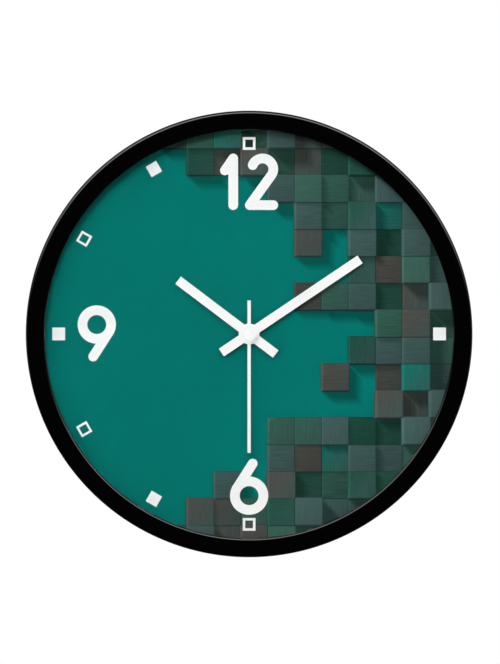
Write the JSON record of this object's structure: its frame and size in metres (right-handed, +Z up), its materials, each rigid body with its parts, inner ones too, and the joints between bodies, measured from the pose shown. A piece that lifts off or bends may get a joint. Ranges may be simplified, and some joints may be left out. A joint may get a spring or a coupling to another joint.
{
  "type": "round wall clock",
  "caption": "Round quartz wall clock with a thin black bezel, flat glass, printed dial and bar hands, geared movement, setting knob, battery and a keyhole hanger.",
  "frame": {"origin": "on the hands' axis, in the plane of the wall that the bezel's rear rim rests on", "axes": "+Z up towards twelve, +Y into the wall, so the dial faces -Y, and +X to the right of the dial"},
  "size_m": [0.3, 0.04, 0.3],
  "materials": {
    "gloss_black": "gloss black moulded plastic",
    "glass": "clear flat glass",
    "satin_black": "satin black plastic",
    "dial_print": "printed sheet, teal with a block pattern",
    "pan_plastic": "matt black moulded plastic",
    "zinc": "bright zinc plate",
    "rubber": "black rubber",
    "brass": "turned brass",
    "movement_plastic": "fine-grained black moulded plastic",
    "knob_plastic": "dark grey moulded plastic",
    "nylon": "natural moulded nylon",
    "soft_iron": "stamped soft iron",
    "magnet": "sintered magnet on a moulded pinion",
    "bobbin_plastic": "white moulded plastic",
    "copper": "enamelled copper wire",
    "board": "green laminate",
    "epoxy": "black epoxy",
    "spring_steel": "nickel plated spring steel",
    "hand_white": "white lacquer on stamped aluminium",
    "cell": "plain jacket on a steel can"
  },
  "bodies": {
    "case": {"bezel": "gloss_black", "lens": "glass", "spacer_ring": "satin_black", "dial": "dial_print", "back_pan": "pan_plastic", "pan_screws": "zinc", "rubber_washer": "rubber", "nut_washer": "brass", "centre_nut": "brass", "centre_bush": "brass", "movement_case": "movement_plastic", "movement_cover": "movement_plastic", "wheel_plate": "nylon", "stator": "soft_iron", "coil_core": "soft_iron", "coil_bobbin": "bobbin_plastic", "coil_winding": "copper", "circuit_board": "board", "quartz_crystal": "zinc", "controller_chip": "epoxy", "contact_positive": "spring_steel", "contact_negative": "spring_steel"},
    "second_train": {"second_wheel": "nylon", "second_hand": "hand_white", "second_tube": "brass", "second_cap": "hand_white"},
    "rotor_body": {"rotor": "magnet"},
    "step_body": {"step_wheel": "nylon"},
    "third_body": {"third_wheel": "nylon"},
    "centre_body": {"centre_wheel": "nylon"},
    "minute_train": {"cannon_pinion": "brass", "minute_hand": "hand_white", "minute_collet": "brass"},
    "minute_wheel_body": {"minute_wheel": "nylon"},
    "hour_train": {"hour_wheel": "nylon", "hour_hand": "hand_white", "hour_collet": "brass"},
    "knob_body": {"setting_knob": "knob_plastic"},
    "battery_body": {"battery": "cell"}
  },
  "joints": [
    {"name": "second_hand_spin", "type": "hinge", "parent": "case", "child": "second_train", "pos_m": [0, 0, 0], "axis": [0, 1, 0], "continuous": true},
    {"name": "rotor_spin", "type": "hinge", "parent": "case", "child": "rotor_body", "pos_m": [-0.01177, 0, 0.01199], "axis": [0, 1, 0], "continuous": true},
    {"name": "step_wheel_spin", "type": "hinge", "parent": "case", "child": "step_body", "pos_m": [-0.0045, 0, 0.00779], "axis": [0, 1, 0], "continuous": true},
    {"name": "third_wheel_spin", "type": "hinge", "parent": "case", "child": "third_body", "pos_m": [0.0106, 0, 0.00612], "axis": [0, 1, 0], "continuous": true},
    {"name": "centre_wheel_spin", "type": "hinge", "parent": "case", "child": "centre_body", "pos_m": [0, 0, 0], "axis": [0, 1, 0], "continuous": true},
    {"name": "minute_hand_spin", "type": "hinge", "parent": "case", "child": "minute_train", "pos_m": [0, 0, 0], "axis": [0, 1, 0], "continuous": true},
    {"name": "minute_wheel_spin", "type": "hinge", "parent": "case", "child": "minute_wheel_body", "pos_m": [-0.0094, 0, 0.00342], "axis": [0, 1, 0], "continuous": true},
    {"name": "hour_hand_spin", "type": "hinge", "parent": "case", "child": "hour_train", "pos_m": [0, 0, 0], "axis": [0, 1, 0], "continuous": true},
    {"name": "setting_knob_spin", "type": "hinge", "parent": "case", "child": "knob_body", "pos_m": [-0.0199, 0, 0.00342], "axis": [0, 1, 0], "continuous": true},
    {"name": "battery_lift", "type": "slide", "parent": "case", "child": "battery_body", "axis": [0, 1, 0], "range_m": [0, 0.03]}
  ],
  "couplings": [
    {"joint": "step_wheel_spin", "follows": "second_hand_spin", "ratio": -5},
    {"joint": "rotor_spin", "follows": "second_hand_spin", "ratio": 30},
    {"joint": "third_wheel_spin", "follows": "second_hand_spin", "ratio": -0.125},
    {"joint": "centre_wheel_spin", "follows": "second_hand_spin", "ratio": 0.016667},
    {"joint": "minute_wheel_spin", "follows": "minute_hand_spin", "ratio": -0.33333},
    {"joint": "hour_hand_spin", "follows": "minute_hand_spin", "ratio": 0.083333},
    {"joint": "setting_knob_spin", "follows": "minute_hand_spin", "ratio": 0.83333}
  ]
}
